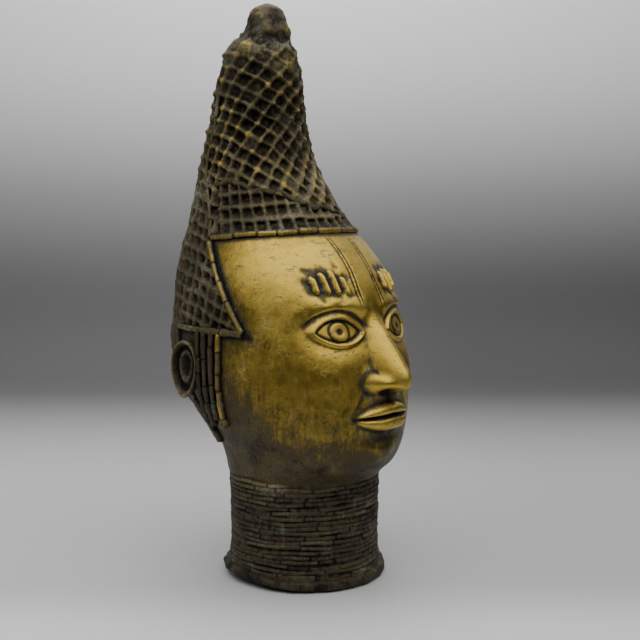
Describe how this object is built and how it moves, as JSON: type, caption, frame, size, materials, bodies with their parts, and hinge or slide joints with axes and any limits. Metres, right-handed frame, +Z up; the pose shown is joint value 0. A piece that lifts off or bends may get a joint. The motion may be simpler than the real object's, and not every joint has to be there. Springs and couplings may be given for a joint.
{
  "type": "cast brass commemorative head",
  "caption": "Cast brass head in a tall peaked cap of netted cords, with beaded threads before the ears, standing on a ringed collar with a flared foot.",
  "frame": {"origin": "middle of the flat underside, on the ground", "axes": "+Z up, the face looks along -Y, +X to the left of the head itself"},
  "size_m": [0.1202, 0.1482, 0.3],
  "materials": {
    "brass": "polished face with a dark brown patina on cap, threads and collar"
  },
  "bodies": {
    "root": {"brass_head": "brass"}
  },
  "joints": []
}
